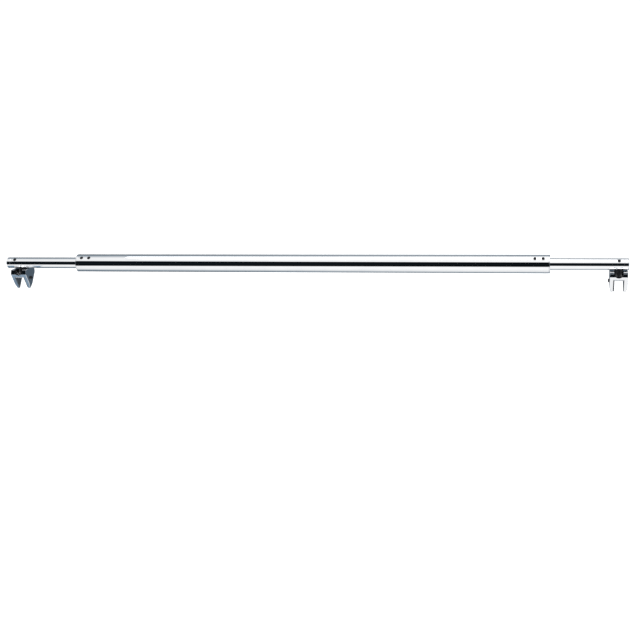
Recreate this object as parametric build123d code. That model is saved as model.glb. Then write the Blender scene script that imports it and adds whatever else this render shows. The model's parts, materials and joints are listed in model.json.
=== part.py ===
from build123d import *

import os

# Telescopic support bar for shower glass: an outer tube, a thinner rod sliding out of each
# end, and under each rod a fork clamp that grips the top edge of a glass panel.
#
# Frame: X along the bar, Z up. The origin is the middle of the left clamp's glass seat, the
# face that the top edge of the glass rests against. The bar's axis is AXIS_Z above it.
# An end is modelled once, in its own frame, with X pointing from its clamp to the bar's
# middle. The left end uses it as it is and the right end is its mirror image.

# ---- driving dimensions, mm -------------------------------------------------------------
TUBE_OD = 25.4
TUBE_WALL = 1.5
ROD_OD = 16.0
ROD_WALL = 1.2
ROD_LENGTH = 302.0
OUTER_LENGTH = 688.0
LEFT_REACH = 112.0
RIGHT_REACH = 105.0
LEFT_CLAMP_OFFSET = 22.0
RIGHT_CLAMP_OFFSET = 13.6

CLAMP_WIDTH = 24.0
SLOT_WIDTH = 14.4
AXIS_Z = 21.0
CROWN_DROP = 8.5
SHOULDER_DROP = 15.5
SLOT_DROP = 19.2
TIP_DROP = 39.5
SHOULDER_HALF_DEPTH = 16.0
FLANK_RADIUS = 12.0
FLANK_LEAN = 19.5
JAW_BEND_DROP = 28.0
JAW_TIP_THICKNESS = 2.0
NECK_OD = 12.2
NECK_SEAT_DROP = 17.0
CLAMP_SCREW_DROP = 22.3

SCREW_ANGLE = 45.0
LOCK_SCREW_INSETS = (9.1, 20.4)
ANCHOR_SCREW_INSET = 13.2

# ---- smaller dimensions -----------------------------------------------------------------
RUNNING_GAP = 0.05
THREAD_GAP = 0.02
FACE_GAP = 0.05
SIDE_GAP = 0.1
CUT_MARGIN = 1.0
RIM_TOLERANCE = 0.001

CAP_LENGTH = 6.0
CAP_ROUND = 1.2
CAP_SPIGOT = 2.5
SEAM_CHAMFER = 0.25

FLANGE_LENGTH = 2.0
FLANGE_ROUND = 0.5
BUSH_LENGTH = 32.0

GUIDE_LENGTH = 20.0
GUIDE_LAND = 4.0
GUIDE_RELIEF = 0.6
GUIDE_INSET = 4.2
RING_THICKNESS = 1.0
RING_OD = 18.8
RING_OPENING = 9.0
GROOVE_DEPTH = 0.5

M5 = 5.0
M6 = 6.0
LOCK_SCREW_LENGTH = 3.2
LOCK_SCREW_RECESS = 0.4
LOCK_SOCKET = 2.5
LOCK_SOCKET_DEPTH = 1.4
TIP_OD = 3.4
TIP_PIN_OD = 2.0
TIP_PIN_LENGTH = 0.95
TIP_CLEARANCE = 0.3
ANCHOR_SCREW_LENGTH = 3.6
ANCHOR_SCREW_RECESS = 0.3
ANCHOR_OVERHANG = 7.0
SCREW_CHAMFER = 0.3
BOLT_HEAD_OD = 9.6
BOLT_HEAD_HEIGHT = 1.4
BOLT_HEAD_RECESS = 1.0
BOLT_HEAD_ROUND = 0.5
BOLT_TIP_DROP = 1.0
BOLT_END_ROOM = 0.4
BOLT_HOLE = 6.6
BOLT_SOCKET = 3.0
BOLT_SOCKET_DEPTH = 0.9
HEAD_CLEARANCE = 0.2

CLAMP_ROUND = 0.5
CROWN_ROUND = 1.6
TIP_ROUND = 1.2
PAD_INSET = 1.2
PAD_TOP = -0.3
FIXED_PAD_THICKNESS = 1.0
BACKING_THICKNESS = 0.8
FACING_THICKNESS = 0.8
CUSHION_STEP = 0.4
CUSHION_HOLLOW_Z = 0.9
CUSHION_NOTCH_START = 0.3
CUSHION_NOTCH_WIDTH = 5.4
CLAMP_SCREW_STANDOUT = 2.0
CLAMP_SCREW_DOG_OD = 3.4
CLAMP_SCREW_CHAMFER = 0.4
CLAMP_SOCKET_DEPTH = 2.5

# ---- derived dimensions -----------------------------------------------------------------
TUBE_R = TUBE_OD / 2
BORE_R = TUBE_R - TUBE_WALL
ROD_R = ROD_OD / 2
ROD_BORE_R = ROD_R - ROD_WALL
HALF_WIDTH = CLAMP_WIDTH / 2
HALF_SLOT = SLOT_WIDTH / 2
NECK_R = NECK_OD / 2
CHANNEL_R = NECK_R + 2 * RUNNING_GAP
SLOT_TOP = AXIS_Z - SLOT_DROP
NECK_SEAT = AXIS_Z - NECK_SEAT_DROP
CLAMP_SCREW_Z = AXIS_Z - CLAMP_SCREW_DROP
LEFT_TUBE_X = LEFT_REACH - LEFT_CLAMP_OFFSET
RIGHT_TUBE_X = RIGHT_REACH - RIGHT_CLAMP_OFFSET
CLAMP_SPACING = LEFT_TUBE_X + OUTER_LENGTH + RIGHT_TUBE_X

UPWARD = (Align.CENTER, Align.CENTER, Align.MIN)


# ---- helpers ----------------------------------------------------------------------------
def bar(radius, start, end):
    """A round bar on the tube's axis from X = start to X = end."""
    return Pos(start, 0, AXIS_Z) * Rot(0, 90, 0) * Cylinder(radius, end - start, align=UPWARD)


def sleeve(outer_r, inner_r, start, end):
    """A round tube on the bar's axis."""
    return bar(outer_r, start, end) - bar(inner_r, start, end)


def post(radius, bottom, top, x=0.0):
    """A vertical round bar from Z = bottom to Z = top."""
    return Pos(x, 0, bottom) * Cylinder(radius, top - bottom, align=UPWARD)


def crossbar(radius, start, end, z):
    """A round bar along X at height z, clear of the tube's axis."""
    return Pos(start, 0, z) * Rot(0, 90, 0) * Cylinder(radius, end - start, align=UPWARD)


def spoke(x):
    """The frame of a screw that points at the bar's axis, with Z outwards along the screw."""
    return Pos(x, 0, AXIS_Z) * Rot(SCREW_ANGLE, 0, 0)


def peg(radius, inner, outer):
    """A round peg from one distance from the axis to another, in a spoke's frame."""
    return Pos(0, 0, inner) * Cylinder(radius, outer - inner, align=UPWARD)


def hex_socket(across_flats, depth):
    """A hexagonal key socket, opening upwards at Z = 0."""
    outline = RegularPolygon(across_flats / 2, 6, major_radius=False)
    return extrude(outline, -depth)


def rims(piece, axis, position):
    """The edges of a piece that lie in one plane across an axis."""
    return piece.edges().filter_by_position(axis, position - RIM_TOLERANCE, position + RIM_TOLERANCE)


# ---- outer tube and its two end bushes --------------------------------------------------
def outer_tube():
    """The chromed outer tube, drilled at both ends for the lock screws."""
    start = LEFT_TUBE_X + FLANGE_LENGTH
    end = LEFT_TUBE_X + OUTER_LENGTH - FLANGE_LENGTH
    tube = sleeve(TUBE_R, BORE_R, start, end)
    drill = peg(M5 / 2 + RUNNING_GAP, ROD_R, TUBE_R + CUT_MARGIN)
    for inset in LOCK_SCREW_INSETS:
        tube -= spoke(LEFT_TUBE_X + inset) * drill
        tube -= spoke(LEFT_TUBE_X + OUTER_LENGTH - inset) * drill
    return tube


def end_bush(tube_x):
    """The flanged bush in the tube's mouth that the rod runs through."""
    sleeve_start = tube_x + FLANGE_LENGTH
    flange = bar(TUBE_R, tube_x, sleeve_start)
    flange = fillet(rims(flange, Axis.X, tube_x), FLANGE_ROUND)
    bush = flange + bar(BORE_R - RUNNING_GAP, sleeve_start, tube_x + BUSH_LENGTH)
    bush -= bar(ROD_R + RUNNING_GAP, tube_x, tube_x + BUSH_LENGTH)
    for inset in LOCK_SCREW_INSETS:
        bush -= spoke(tube_x + inset) * peg(M5 / 2 + THREAD_GAP, 0, TUBE_R)
    return bush


def lock_screw():
    """A headless screw with a key socket outside and a seat for its soft tip inside."""
    top = TUBE_R - LOCK_SCREW_RECESS
    bottom = top - LOCK_SCREW_LENGTH
    screw = peg(M5 / 2, bottom, top)
    screw = chamfer(rims(screw, Axis.Z, top), SCREW_CHAMFER)
    screw -= Pos(0, 0, top) * hex_socket(LOCK_SOCKET, LOCK_SOCKET_DEPTH)
    return screw - peg(TIP_PIN_OD / 2 + RUNNING_GAP, bottom, bottom + TIP_PIN_LENGTH + 2 * FACE_GAP)


def lock_tip():
    """The nylon tip that presses on the rod, with a pin that turns in the screw."""
    face = ROD_R + TIP_CLEARANCE
    shoulder = TUBE_R - LOCK_SCREW_RECESS - LOCK_SCREW_LENGTH - FACE_GAP
    return peg(TIP_OD / 2, face, shoulder) + peg(TIP_PIN_OD / 2, face, shoulder + TIP_PIN_LENGTH)


# ---- sliding rod ------------------------------------------------------------------------
def guide_span(rod_end):
    """Where the guide lies along the rod: its start and end in X."""
    end = rod_end - GUIDE_INSET
    return end - GUIDE_LENGTH, end


def ring_starts(rod_end):
    """Where the two retaining rings start, one on each side of the guide."""
    start, end = guide_span(rod_end)
    return start - 2 * FACE_GAP - RING_THICKNESS, end + 2 * FACE_GAP


def rod(rod_start):
    """The thin-walled sliding rod, drilled for its anchor and grooved for the guide's rings."""
    rod_end = rod_start + ROD_LENGTH
    seam = rod_start + CAP_LENGTH
    shell = bar(ROD_R, seam, rod_end)
    shell = chamfer(rims(shell, Axis.X, seam), SEAM_CHAMFER)
    for start in ring_starts(rod_end):
        stop = start + RING_THICKNESS + FACE_GAP
        shell -= sleeve(ROD_R + CUT_MARGIN, ROD_R - GROOVE_DEPTH, start - FACE_GAP, stop)
    shell -= bar(ROD_BORE_R, seam, rod_end)
    shell -= post(BOLT_HOLE / 2, AXIS_Z - ROD_R - CUT_MARGIN, AXIS_Z)
    drill = peg(M5 / 2 + RUNNING_GAP, 0, ROD_R + CUT_MARGIN)
    return shell - spoke(rod_start + ANCHOR_SCREW_INSET) * drill


def end_cap(rod_start):
    """The chromed cap that closes the rod's outer end."""
    seam = rod_start + CAP_LENGTH
    cap = bar(ROD_R, rod_start, seam)
    cap = fillet(rims(cap, Axis.X, rod_start), CAP_ROUND)
    cap = chamfer(rims(cap, Axis.X, seam), SEAM_CHAMFER)
    return cap + bar(ROD_BORE_R - RUNNING_GAP, seam, seam + CAP_SPIGOT)


def anchor_plug(rod_start):
    """The solid plug in the rod that the clamp's bolt screws into."""
    start = rod_start + CAP_LENGTH + CAP_SPIGOT + 2 * FACE_GAP
    plug = bar(ROD_BORE_R - RUNNING_GAP, start, ANCHOR_OVERHANG)
    plug -= post(M6 / 2 + THREAD_GAP, AXIS_Z - ROD_R, AXIS_Z - BOLT_TIP_DROP + BOLT_END_ROOM)
    screw_seat = ROD_R - ANCHOR_SCREW_RECESS - ANCHOR_SCREW_LENGTH - FACE_GAP
    tapped = peg(M5 / 2 + THREAD_GAP, screw_seat, ROD_R)
    return plug - spoke(rod_start + ANCHOR_SCREW_INSET) * tapped


def anchor_screw():
    """The headless screw that pins the plug in the rod."""
    top = ROD_R - ANCHOR_SCREW_RECESS
    screw = peg(M5 / 2, top - ANCHOR_SCREW_LENGTH, top)
    screw = chamfer(rims(screw, Axis.Z, top), SCREW_CHAMFER)
    return screw - Pos(0, 0, top) * hex_socket(LOCK_SOCKET, LOCK_SOCKET_DEPTH)


def rod_guide(rod_end):
    """The nylon guide that slides in the tube with the rod and lets the rod roll in it."""
    start, end = guide_span(rod_end)
    outer_r = BORE_R - RUNNING_GAP
    land_end, land_start = start + GUIDE_LAND, end - GUIDE_LAND
    relief = sleeve(outer_r + CUT_MARGIN, outer_r - GUIDE_RELIEF, land_end, land_start)
    return sleeve(outer_r, ROD_R + RUNNING_GAP, start, end) - relief


def guide_rings(rod_end):
    """The two open retaining rings that hold the guide on the rod."""
    inner_r = ROD_R - GROOVE_DEPTH + THREAD_GAP
    opening = Box(3 * RING_THICKNESS, RING_OPENING, RING_OD, align=UPWARD)
    rings = []
    for start in ring_starts(rod_end):
        ring = sleeve(RING_OD / 2, inner_r, start, start + RING_THICKNESS)
        rings.append(ring - Pos(start, 0, AXIS_Z) * opening)
    return Compound(children=rings)


# ---- neck and clamp ---------------------------------------------------------------------
def neck_spacer():
    """The black neck between rod and clamp: saddled on the rod, flat where the clamp turns."""
    neck = post(NECK_R, NECK_SEAT + FACE_GAP, AXIS_Z)
    neck -= bar(ROD_R + THREAD_GAP, -CLAMP_WIDTH, CLAMP_WIDTH)
    return neck - post(BOLT_HOLE / 2, 0, AXIS_Z)


def clamp_bolt():
    """The low-headed bolt that holds the clamp to the rod and lets it swivel."""
    bearing = SLOT_TOP + BOLT_HEAD_RECESS - FACE_GAP
    underside = bearing - BOLT_HEAD_HEIGHT
    head = post(BOLT_HEAD_OD / 2, underside, bearing)
    head = fillet(rims(head, Axis.Z, underside), BOLT_HEAD_ROUND)
    bolt = head + post(M6 / 2, bearing, AXIS_Z - BOLT_TIP_DROP)
    socket = hex_socket(BOLT_SOCKET, BOLT_SOCKET_DEPTH)
    return bolt - Pos(0, 0, underside) * Rot(180, 0, 0) * socket


def shield(inset=0.0, top=None):
    """The clamp's outline across the bar: a flat crown, round flanks, then a long point.

    It is a face in the YZ plane. An inset outline is cut off flat at Z = top.
    """
    crown_z = AXIS_Z - CROWN_DROP
    shoulder_y, shoulder_z = SHOULDER_HALF_DEPTH, AXIS_Z - SHOULDER_DROP
    tip_z = AXIS_Z - TIP_DROP
    crown_ends = []
    with BuildSketch(Plane.YZ) as sketch:
        with BuildLine():
            for side in (1, -1):
                start = (side * shoulder_y, shoulder_z)
                flank = JernArc(start, (0, 1), FLANK_RADIUS, side * FLANK_LEAN)
                rise = crown_z - (flank @ 1).Y
                brow = PolarLine(flank @ 1, rise, direction=flank % 1, length_mode=LengthMode.VERTICAL)
                crown_ends.append(brow @ 1)
            Line(*crown_ends)
            Polyline((shoulder_y, shoulder_z), (0, tip_z), (-shoulder_y, shoulder_z))
        make_face()
        corners = sketch.vertices().sort_by(Axis.Y)
        fillet(corners[0], TIP_ROUND)
        fillet(corners[-2:], CROWN_ROUND)
    outline = sketch.sketch
    if inset:
        outline = offset(outline, -inset)
        keep = Plane.YZ * Pos(0, top - TIP_DROP / 2) * Rectangle(TIP_DROP, TIP_DROP)
        outline = outline & keep
    return outline


def slab(outline, start, end):
    """A YZ outline extruded from X = start to X = end."""
    return Pos(start, 0, 0) * extrude(outline, end - start, dir=(1, 0, 0))


def front_outline():
    """The clamp's outline seen square on: straight sides that curve in to the jaw tips."""
    bend = AXIS_Z - JAW_BEND_DROP
    tip = AXIS_Z - TIP_DROP - CUT_MARGIN / 2
    tip_x = HALF_SLOT + JAW_TIP_THICKNESS
    with BuildSketch(Plane.XZ) as sketch:
        with BuildLine():
            TangentArc((-HALF_WIDTH, bend), (-tip_x, tip), tangent=(0, -1))
            Line((-tip_x, tip), (tip_x, tip))
            TangentArc((HALF_WIDTH, bend), (tip_x, tip), tangent=(0, -1))
            Polyline(
                (HALF_WIDTH, bend), (HALF_WIDTH, AXIS_Z), (-HALF_WIDTH, AXIS_Z), (-HALF_WIDTH, bend)
            )
        make_face()
    return sketch.sketch


def clamp_blank():
    """The clamp's outer shape, before any slot or hole."""
    blank = slab(shield(), -HALF_WIDTH, HALF_WIDTH)
    blank &= extrude(front_outline(), 2 * SHOULDER_HALF_DEPTH, both=True)
    return fillet(blank.edges(), CLAMP_ROUND)


def clamp_body():
    """The forked clamp: glass slot below, channel for the neck above, tapped inner jaw."""
    depth = 2 * SHOULDER_HALF_DEPTH
    top = AXIS_Z - CROWN_DROP
    body = clamp_blank()
    body -= Pos(0, 0, SLOT_TOP - TIP_DROP / 2) * Box(SLOT_WIDTH, depth + CUT_MARGIN, TIP_DROP)
    channel_z = NECK_SEAT + CHANNEL_R
    body -= Pos(0, 0, channel_z) * Rot(90, 0, 0) * Cylinder(CHANNEL_R, depth)
    body -= Pos(0, 0, channel_z) * Box(2 * CHANNEL_R, depth, top, align=UPWARD)
    body -= post(CHANNEL_R, NECK_SEAT, AXIS_Z)
    body -= post(BOLT_HOLE / 2, 0, AXIS_Z)
    body -= post(BOLT_HEAD_OD / 2 + HEAD_CLEARANCE, 0, SLOT_TOP + BOLT_HEAD_RECESS)
    thread = crossbar(M5 / 2 + THREAD_GAP, 0, HALF_WIDTH + CUT_MARGIN, CLAMP_SCREW_Z)
    return body - thread


def fixed_pad():
    """The rubber pad stuck to the outer jaw."""
    start = -HALF_SLOT + THREAD_GAP
    return slab(shield(PAD_INSET, PAD_TOP), start, start + FIXED_PAD_THICKNESS)


def pad_backing_x():
    """The pressure pad's backing plate: its start and end in X when the screw is slack."""
    end = HALF_SLOT - 2 * FACE_GAP
    return end - BACKING_THICKNESS, end


def pad_backing():
    """The steel plate of the pressure pad, drilled for the clamp screw's dog point."""
    start, end = pad_backing_x()
    plate = slab(shield(PAD_INSET, PAD_TOP), start, end)
    return plate - crossbar(CLAMP_SCREW_DOG_OD / 2 + RUNNING_GAP, start, end, CLAMP_SCREW_Z)


def pad_facing():
    """The rubber facing of the pressure pad."""
    end = pad_backing_x()[0]
    return slab(shield(PAD_INSET, PAD_TOP), end - FACING_THICKNESS, end)


def seat_cushion():
    """The cushion the glass edge rests on, hollow over the bolt's head, notched for the screw."""
    half_width = HALF_SLOT - SIDE_GAP
    strip_start = -HALF_SLOT + FIXED_PAD_THICKNESS + 2 * SIDE_GAP
    strip_end = pad_backing_x()[0] - FACING_THICKNESS - 2 * SIDE_GAP
    keep = Box(SLOT_WIDTH, 2 * SHOULDER_HALF_DEPTH, SLOT_WIDTH, align=UPWARD)
    outline = shield(PAD_INSET, SLOT_TOP - THREAD_GAP)
    plate = slab(outline, -half_width, half_width) & Pos(0, 0, CUSHION_STEP) * keep
    plate += slab(outline, strip_start, strip_end) & keep
    plate -= post(BOLT_HEAD_OD / 2 + HEAD_CLEARANCE, CUSHION_HOLLOW_Z, SLOT_TOP)
    notch_align = (Align.MIN, Align.CENTER, Align.CENTER)
    notch = Box(SLOT_WIDTH, CUSHION_NOTCH_WIDTH, SLOT_WIDTH, align=notch_align)
    return plate - Pos(CUSHION_NOTCH_START, 0, 0) * notch


def clamp_screw():
    """The headless screw that drives the pressure pad against the glass."""
    outer = HALF_WIDTH + CLAMP_SCREW_STANDOUT
    inner = HALF_SLOT + FACE_GAP
    dog_end = pad_backing_x()[0] + SIDE_GAP
    screw = crossbar(M5 / 2, inner, outer, CLAMP_SCREW_Z)
    screw = chamfer(rims(screw, Axis.X, outer), CLAMP_SCREW_CHAMFER)
    screw += crossbar(CLAMP_SCREW_DOG_OD / 2, dog_end, inner, CLAMP_SCREW_Z)
    socket = hex_socket(LOCK_SOCKET, CLAMP_SOCKET_DEPTH)
    return screw - Pos(outer, 0, CLAMP_SCREW_Z) * Rot(0, 90, 0) * socket


# ---- assembly ---------------------------------------------------------------------------
def end_pieces(reach, clamp_offset):
    """Every piece of one end, in the end's own frame."""
    rod_start = -clamp_offset
    rod_end = rod_start + ROD_LENGTH
    tube_x = reach - clamp_offset
    outer_x, inner_x = (tube_x + inset for inset in LOCK_SCREW_INSETS)
    return {
        "end_bush": end_bush(tube_x),
        "outer_lock_screw": spoke(outer_x) * lock_screw(),
        "outer_lock_tip": spoke(outer_x) * lock_tip(),
        "inner_lock_screw": spoke(inner_x) * lock_screw(),
        "inner_lock_tip": spoke(inner_x) * lock_tip(),
        "rod": rod(rod_start),
        "end_cap": end_cap(rod_start),
        "anchor_plug": anchor_plug(rod_start),
        "anchor_screw": spoke(rod_start + ANCHOR_SCREW_INSET) * anchor_screw(),
        "rod_guide": rod_guide(rod_end),
        "guide_rings": guide_rings(rod_end),
        "neck_spacer": neck_spacer(),
        "clamp_bolt": clamp_bolt(),
        "clamp_body": clamp_body(),
        "seat_cushion": seat_cushion(),
        "fixed_pad": fixed_pad(),
        "pad_backing": pad_backing(),
        "pad_facing": pad_facing(),
        "clamp_screw": clamp_screw(),
    }


def main():
    os.makedirs("parts", exist_ok=True)
    export_step(outer_tube(), "parts/outer_tube.step")
    for name, piece in end_pieces(LEFT_REACH, LEFT_CLAMP_OFFSET).items():
        export_step(piece, f"parts/left_{name}.step")
    for name, piece in end_pieces(RIGHT_REACH, RIGHT_CLAMP_OFFSET).items():
        placed = Pos(CLAMP_SPACING, 0, 0) * mirror(piece, about=Plane.YZ)
        export_step(placed, f"parts/right_{name}.step")


main()
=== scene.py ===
import json
import math

import bpy
from mathutils import Euler, Matrix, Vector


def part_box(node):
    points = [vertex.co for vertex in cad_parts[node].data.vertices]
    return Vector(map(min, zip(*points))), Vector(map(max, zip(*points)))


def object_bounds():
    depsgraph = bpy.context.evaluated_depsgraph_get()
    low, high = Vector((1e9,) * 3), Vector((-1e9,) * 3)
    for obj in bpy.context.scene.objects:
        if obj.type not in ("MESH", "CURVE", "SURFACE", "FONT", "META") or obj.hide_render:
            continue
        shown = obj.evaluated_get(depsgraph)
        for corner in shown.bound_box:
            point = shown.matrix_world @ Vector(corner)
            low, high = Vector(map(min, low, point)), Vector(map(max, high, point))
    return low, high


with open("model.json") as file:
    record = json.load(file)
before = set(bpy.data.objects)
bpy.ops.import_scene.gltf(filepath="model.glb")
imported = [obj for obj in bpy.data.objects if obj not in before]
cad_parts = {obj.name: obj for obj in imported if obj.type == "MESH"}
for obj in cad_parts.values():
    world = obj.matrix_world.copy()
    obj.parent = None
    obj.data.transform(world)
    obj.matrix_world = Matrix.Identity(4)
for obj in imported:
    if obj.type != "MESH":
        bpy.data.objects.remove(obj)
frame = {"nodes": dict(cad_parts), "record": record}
CAD_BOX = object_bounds()
RECORD = frame["record"]

MICRON = 0.000001
WHITE = (1.0, 1.0, 1.0, 1.0)

# ---- camera: metres and degrees in the part's frame, and millimetres for the lens ---------
CAMERA_PLACE = (0.7994, -1.6545, 0.2887)
CAMERA_YAW = 11.803
CAMERA_PITCH = 11.697
CAMERA_ROLL = -1.725
CAMERA_LENS = 67.5
SENSOR_WIDTH = 36.0

# ---- stage: metres ----------------------------------------------------------------------
FLOOR_DROP = 0.30
FLOOR_RADIUS = 3.0
FLOOR_SIDES = 96
FLOOR_COLOUR = (0.9, 0.9, 0.9)
FLOOR_ROUGHNESS = 0.9
FLOOR_GLOW = 0.6

LIGHT_PLACE = (0.45, -0.2, 1.4)
LIGHT_SIZE = (1.6, 0.8)
LIGHT_POWER = 12.0

# The card is lighter towards the camera and, more gently, towards the bar's middle. Its spans are
# in the card's own coordinates, where it is 1 long from edge to edge. Its shift from the clamp's
# middle is in the same measure.
CARD_DROP = 0.065
CARD_SIZE = (0.062, 0.062)
CARD_SHIFT = (-1 / 2, -1 / 3)
CARD_PAINT = (0.1, 0.14, 0.18)
CARD_DARK = (0.035, 0.065, 0.105)
CARD_LIGHT = (0.115, 0.17, 0.225)
CARD_NEAR_SPAN = (-0.12, 0.02)
CARD_INWARD_SPAN = (0.05, 0.30)
CARD_INWARD_SHARE = 0.8

# The studio as the chrome sees it: brightness by elevation in degrees, in four quarters and
# towards the bar's two ends. Darker parts take more of the tint.
STUDIO_STRENGTH = 1.08
PAPER_STRENGTH = 1.1
STUDIO = {
    "front_left": [(-90, 0.62), (-70, 0.84), (-36, 0.98), (-30, 0.85), (-25, 0.003), (2, 0.009),
                   (26, 0.002), (30, 0.08), (34, 0.90), (60, 0.92), (90, 0.84)],
    "front_right": [(-90, 0.90), (-60, 1.0), (-34, 1.0), (-29, 0.80), (-24, 0.002), (2, 0.007),
                    (26, 0.002), (29, 0.06), (33, 1.0), (60, 1.0), (90, 0.97)],
    "back_left": [(-90, 0.55), (-70, 0.36), (-50, 0.16), (-35, 0.06), (0, 0.05), (35, 0.07),
                  (50, 0.30), (62, 0.50), (75, 0.70), (90, 0.82)],
    "back_right": [(-90, 0.86), (-72, 0.66), (-55, 0.36), (-38, 0.12), (-5, 0.10), (20, 0.10),
                   (32, 0.25), (45, 0.45), (68, 0.80), (90, 0.97)],
    "ends": [(-90, 0.90), (-45, 0.95), (-24, 0.80), (-14, 0.45), (-4, 0.16), (4, 0.20), (12, 0.50),
             (24, 0.85), (45, 1.0), (90, 0.97)],
}
DARK_TINT = (0.68, 1.0, 1.36)

# Where one part of the studio turns into the next, by the sideways or backward part of a direction.
LEFT_TO_RIGHT = (-0.42, -0.10)
FRONT_TO_BACK = (-0.12, 0.12)
MIDDLE_TO_END = (0.55, 0.80)

# ---- the Mix node's colour sockets, by their number ---------------------------------------
FIRST_COLOUR = 6
SECOND_COLOUR = 7
MIXED_COLOUR = 2


# ---- node helpers -----------------------------------------------------------------------
def add(tree, kind, **settings):
    """A new node, with its attributes set."""
    node = tree.nodes.new(kind)
    for name, value in settings.items():
        setattr(node, name, value)
    return node


def noise(tree, vector, scale, detail, rough=0.5):
    """A noise texture on a vector, in the part's own metres."""
    node = add(tree, "ShaderNodeTexNoise")
    node.inputs["Scale"].default_value = scale
    node.inputs["Detail"].default_value = detail
    node.inputs["Roughness"].default_value = rough
    tree.links.new(vector, node.inputs["Vector"])
    return node.outputs["Fac"]


def spread(tree, value, low, high, start=0.0, end=1.0):
    """A value taken from the range start..end to the range low..high, and held inside it."""
    node = add(tree, "ShaderNodeMapRange")
    for name, number in (("From Min", start), ("From Max", end), ("To Min", low), ("To Max", high)):
        node.inputs[name].default_value = number
    tree.links.new(value, node.inputs["Value"])
    return node.outputs["Result"]


def mixed(tree, factor, first, second):
    """A colour between two colours, each of them plain or a socket's."""
    node = add(tree, "ShaderNodeMix", data_type="RGBA")
    tree.links.new(factor, node.inputs["Factor"])
    for number, colour in ((FIRST_COLOUR, first), (SECOND_COLOUR, second)):
        socket = node.inputs[number]
        if isinstance(colour, tuple):
            socket.default_value = (*colour, 1.0)
        else:
            tree.links.new(colour, socket)
    return node.outputs[MIXED_COLOUR]


# ---- materials --------------------------------------------------------------------------
def new_material(name, metallic=0.0, subsurface=0.0):
    """A node material: the material, its tree, its shader and its object coordinates."""
    material = bpy.data.materials.new(name)
    material.use_nodes = True
    tree = material.node_tree
    shader = tree.nodes["Principled BSDF"]
    shader.inputs["Metallic"].default_value = metallic
    shader.inputs["Subsurface Weight"].default_value = subsurface
    place = add(tree, "ShaderNodeTexCoord").outputs["Object"]
    return material, tree, shader, place


def coloured(tree, shader, cover, first, second):
    """Drives the shader's colour from the first colour to the second."""
    tree.links.new(mixed(tree, cover, first, second), shader.inputs["Base Color"])


def roughened(tree, shader, cover, low, high, start=0.0, end=1.0):
    """Drives the shader's roughness from low to high."""
    tree.links.new(spread(tree, cover, low, high, start, end), shader.inputs["Roughness"])


def bumped(tree, shader, height, microns):
    """Drives the shader's normal from a height, that many microns from bottom to top."""
    bump = add(tree, "ShaderNodeBump")
    bump.inputs["Distance"].default_value = microns * MICRON
    tree.links.new(height, bump.inputs["Height"])
    tree.links.new(bump.outputs["Normal"], shader.inputs["Normal"])


def chrome():
    """Mirror chrome plate, with faint polishing haze and finger marks."""
    material, tree, shader, place = new_material("chrome_plate", metallic=1.0)
    smudge = noise(tree, place, scale=35.0, detail=4.0, rough=0.6)
    haze = noise(tree, place, scale=900.0, detail=2.0)
    marked = spread(tree, smudge, low=0.0, high=1.0, start=0.35, end=0.75)
    coloured(tree, shader, marked, (0.90, 0.905, 0.915), (0.84, 0.85, 0.87))
    roughened(tree, shader, smudge, low=0.015, high=0.05, start=0.3, end=0.8)
    bumped(tree, shader, haze, microns=2)
    return material


def satin_metal():
    """Satin plated bush, turned on a lathe."""
    material, tree, shader, place = new_material("satin_plate", metallic=1.0)
    grain = noise(tree, place, scale=1600.0, detail=3.0)
    coloured(tree, shader, grain, (0.80, 0.81, 0.83), (0.70, 0.71, 0.73))
    roughened(tree, shader, grain, low=0.12, high=0.25)
    bumped(tree, shader, grain, microns=10)
    return material


def screw_steel():
    """Black oxide steel of the screws, worn lighter in patches."""
    material, tree, shader, place = new_material("screw_steel", metallic=0.6)
    wear = noise(tree, place, scale=600.0, detail=4.0, rough=0.6)
    grain = noise(tree, place, scale=4000.0, detail=2.0)
    worn = spread(tree, wear, low=0.0, high=1.0, start=0.45, end=0.7)
    coloured(tree, shader, worn, (0.025, 0.025, 0.028), (0.07, 0.07, 0.075))
    roughened(tree, shader, wear, low=0.28, high=0.45)
    bumped(tree, shader, grain, microns=10)
    return material


def brass():
    """Turned brass."""
    material, tree, shader, place = new_material("turned_brass", metallic=1.0)
    tarnish = noise(tree, place, scale=250.0, detail=4.0)
    grain = noise(tree, place, scale=3000.0, detail=2.0)
    coloured(tree, shader, tarnish, (0.78, 0.60, 0.28), (0.55, 0.40, 0.18))
    roughened(tree, shader, tarnish, low=0.2, high=0.4)
    bumped(tree, shader, grain, microns=10)
    return material


def nylon():
    """Natural nylon of the guides and screw tips."""
    material, tree, shader, place = new_material("natural_nylon", subsurface=0.1)
    cloud = noise(tree, place, scale=150.0, detail=3.0)
    grain = noise(tree, place, scale=2500.0, detail=2.0)
    coloured(tree, shader, cloud, (0.80, 0.78, 0.71), (0.72, 0.69, 0.61))
    roughened(tree, shader, cloud, low=0.35, high=0.5)
    bumped(tree, shader, grain, microns=20)
    return material


def black_plastic():
    """Glossy black acetal of the necks."""
    material, tree, shader, place = new_material("black_acetal")
    cloud = noise(tree, place, scale=300.0, detail=3.0)
    grain = noise(tree, place, scale=3000.0, detail=2.0)
    coloured(tree, shader, cloud, (0.012, 0.012, 0.013), (0.03, 0.03, 0.032))
    roughened(tree, shader, cloud, low=0.12, high=0.24)
    bumped(tree, shader, grain, microns=6)
    return material


def vinyl():
    """Pale soft vinyl of the seat cushions."""
    material, tree, shader, place = new_material("pale_vinyl")
    cloud = noise(tree, place, scale=250.0, detail=3.0)
    grain = noise(tree, place, scale=4000.0, detail=3.0, rough=0.6)
    coloured(tree, shader, cloud, (0.34, 0.36, 0.39), (0.42, 0.44, 0.47))
    roughened(tree, shader, cloud, low=0.35, high=0.55)
    bumped(tree, shader, grain, microns=20)
    return material


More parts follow.
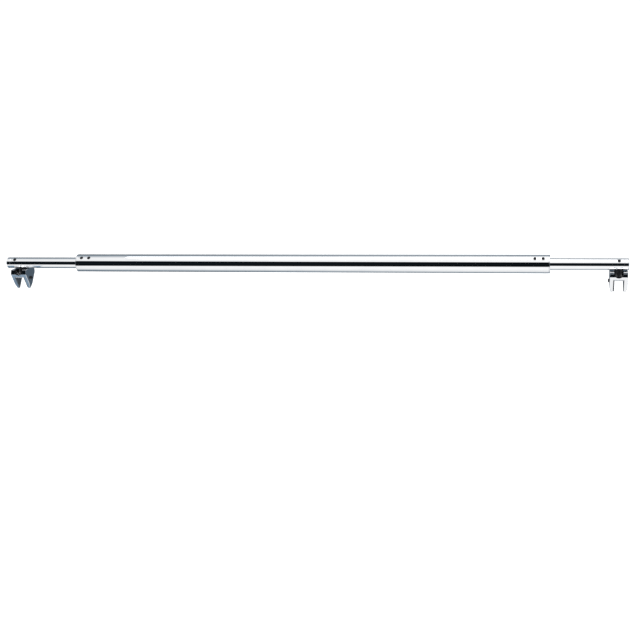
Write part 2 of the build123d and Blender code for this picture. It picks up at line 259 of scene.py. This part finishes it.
def rubber():
    """Dark rubber of the pads."""
    material, tree, shader, place = new_material("dark_rubber")
    cloud = noise(tree, place, scale=400.0, detail=4.0)
    grain = noise(tree, place, scale=5000.0, detail=3.0, rough=0.7)
    coloured(tree, shader, cloud, (0.05, 0.06, 0.07), (0.08, 0.10, 0.12))
    roughened(tree, shader, cloud, low=0.4, high=0.6)
    bumped(tree, shader, grain, microns=50)
    return material


MATERIALS = {
    "chrome": chrome(),
    "satin_metal": satin_metal(),
    "screw_steel": screw_steel(),
    "brass": brass(),
    "nylon": nylon(),
    "black_plastic": black_plastic(),
    "rubber": rubber(),
    "vinyl": vinyl(),
}


def dress_nodes():
    """Gives every CAD node its procedural material."""
    for part in RECORD["subparts"]:
        node = frame["nodes"][part["node"]]
        for slot in node.material_slots:
            slot.material = MATERIALS[part["material_slot"]]


# ---- studio, stage and camera -----------------------------------------------------------
def sky(tree, height, stops):
    """One part of the studio, by height: from 0 straight down to 1 straight up."""
    ramp = add(tree, "ShaderNodeValToRGB")
    elements = ramp.color_ramp.elements
    while len(elements) < len(stops):
        elements.new(0.5)
    for element, (angle, level) in zip(elements, stops):
        element.position = (math.sin(math.radians(angle)) + 1) / 2
        element.color = (*(level * tint ** ((1 - level) ** 2) for tint in DARK_TINT), 1.0)
    tree.links.new(height, ramp.inputs["Fac"])
    return ramp.outputs["Color"]


def build_world():
    """A studio seen in reflections, white above and below a dark horizon, and white paper behind."""
    world = bpy.data.worlds.new("studio")
    bpy.context.scene.world = world
    world.use_nodes = True
    tree = world.node_tree
    tree.nodes.clear()
    direction = add(tree, "ShaderNodeTexCoord").outputs["Generated"]
    axes = add(tree, "ShaderNodeSeparateXYZ")
    tree.links.new(direction, axes.inputs[0])
    height = spread(tree, axes.outputs["Z"], 0.0, 1.0, -1.0, 1.0)
    rightward = spread(tree, axes.outputs["X"], 0.0, 1.0, *LEFT_TO_RIGHT)
    behind = spread(tree, axes.outputs["Y"], 0.0, 1.0, *FRONT_TO_BACK)
    halves = []
    for half in ("front", "back"):
        left = sky(tree, height, STUDIO[f"{half}_left"])
        right = sky(tree, height, STUDIO[f"{half}_right"])
        halves.append(mixed(tree, rightward, left, right))
    sideways = add(tree, "ShaderNodeMath", operation="ABSOLUTE")
    tree.links.new(axes.outputs["X"], sideways.inputs[0])
    endward = spread(tree, sideways.outputs[0], 0.0, 1.0, *MIDDLE_TO_END)
    around = mixed(tree, endward, mixed(tree, behind, *halves), sky(tree, height, STUDIO["ends"]))
    studio = add(tree, "ShaderNodeBackground")
    tree.links.new(around, studio.inputs["Color"])
    studio.inputs["Strength"].default_value = STUDIO_STRENGTH
    paper = add(tree, "ShaderNodeBackground")
    paper.inputs["Color"].default_value = WHITE
    paper.inputs["Strength"].default_value = PAPER_STRENGTH
    path = add(tree, "ShaderNodeLightPath")
    both = add(tree, "ShaderNodeMixShader")
    tree.links.new(path.outputs["Is Camera Ray"], both.inputs[0])
    tree.links.new(studio.outputs[0], both.inputs[1])
    tree.links.new(paper.outputs[0], both.inputs[2])
    out = add(tree, "ShaderNodeOutputWorld")
    tree.links.new(both.outputs[0], out.inputs["Surface"])


def build_card():
    """A small blue-grey card below the left clamp, seen only in its reflections."""
    lowest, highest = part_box("left_clamp_body")
    middle = (lowest + highest) / 2
    across, deep = (size * shift for size, shift in zip(CARD_SIZE, CARD_SHIFT))
    bpy.ops.mesh.primitive_plane_add(size=1.0, location=(middle.x + across, middle.y + deep,
                                                         highest.z - CARD_DROP))
    card = bpy.context.object
    card.name = "reflection_card"
    card.scale = (*CARD_SIZE, 1.0)
    material, tree, shader, place = new_material("card_grey")
    shader.inputs["Base Color"].default_value = (*CARD_PAINT, 1.0)
    axes = add(tree, "ShaderNodeSeparateXYZ")
    tree.links.new(place, axes.inputs[0])
    near = spread(tree, axes.outputs["Y"], 1.0, 0.0, *CARD_NEAR_SPAN)
    inward = spread(tree, axes.outputs["X"], 0.0, CARD_INWARD_SHARE, *CARD_INWARD_SPAN)
    lift = add(tree, "ShaderNodeMath", operation="MAXIMUM")
    tree.links.new(near, lift.inputs[0])
    tree.links.new(inward, lift.inputs[1])
    glow = mixed(tree, lift.outputs[0], CARD_DARK, CARD_LIGHT)
    tree.links.new(glow, shader.inputs["Emission Color"])
    shader.inputs["Emission Strength"].default_value = 1.0
    card.data.materials.append(material)
    card.visible_camera = False
    card.visible_diffuse = False
    card.visible_shadow = False


def build_floor():
    """A plain pale floor below the bar."""
    lowest, highest = CAD_BOX
    middle = (lowest + highest) / 2
    bpy.ops.mesh.primitive_circle_add(vertices=FLOOR_SIDES, radius=FLOOR_RADIUS, fill_type="NGON",
                                      location=(middle.x, middle.y, lowest.z - FLOOR_DROP))
    floor = bpy.context.object
    floor.name = "floor"
    material = bpy.data.materials.new("pale_floor")
    material.use_nodes = True
    shader = material.node_tree.nodes["Principled BSDF"]
    shader.inputs["Base Color"].default_value = (*FLOOR_COLOUR, 1.0)
    shader.inputs["Roughness"].default_value = FLOOR_ROUGHNESS
    shader.inputs["Emission Color"].default_value = WHITE
    shader.inputs["Emission Strength"].default_value = FLOOR_GLOW
    floor.data.materials.append(material)
    floor.visible_glossy = False


def build_light():
    """A large soft light overhead."""
    light = bpy.data.lights.new("softbox", "AREA")
    light.shape = "RECTANGLE"
    light.size, light.size_y = LIGHT_SIZE
    light.energy = LIGHT_POWER
    holder = bpy.data.objects.new("softbox", light)
    holder.location = LIGHT_PLACE
    bpy.context.scene.collection.objects.link(holder)


def build_camera():
    """The camera, in front of the bar and above it, towards its right end, looking down on it."""
    lens = bpy.data.cameras.new("camera")
    lens.lens = CAMERA_LENS
    lens.sensor_width = SENSOR_WIDTH
    camera = bpy.data.objects.new("camera", lens)
    turn = Euler((math.radians(90 - CAMERA_PITCH), 0, math.radians(CAMERA_YAW))).to_matrix()
    turn = turn @ Matrix.Rotation(math.radians(CAMERA_ROLL), 3, "Z")
    camera.matrix_world = Matrix.Translation(CAMERA_PLACE) @ turn.to_4x4()
    bpy.context.scene.collection.objects.link(camera)
    bpy.context.scene.camera = camera


dress_nodes()
build_world()
build_floor()
build_card()
build_light()
build_camera()
bpy.context.scene.view_settings.view_transform = "Standard"
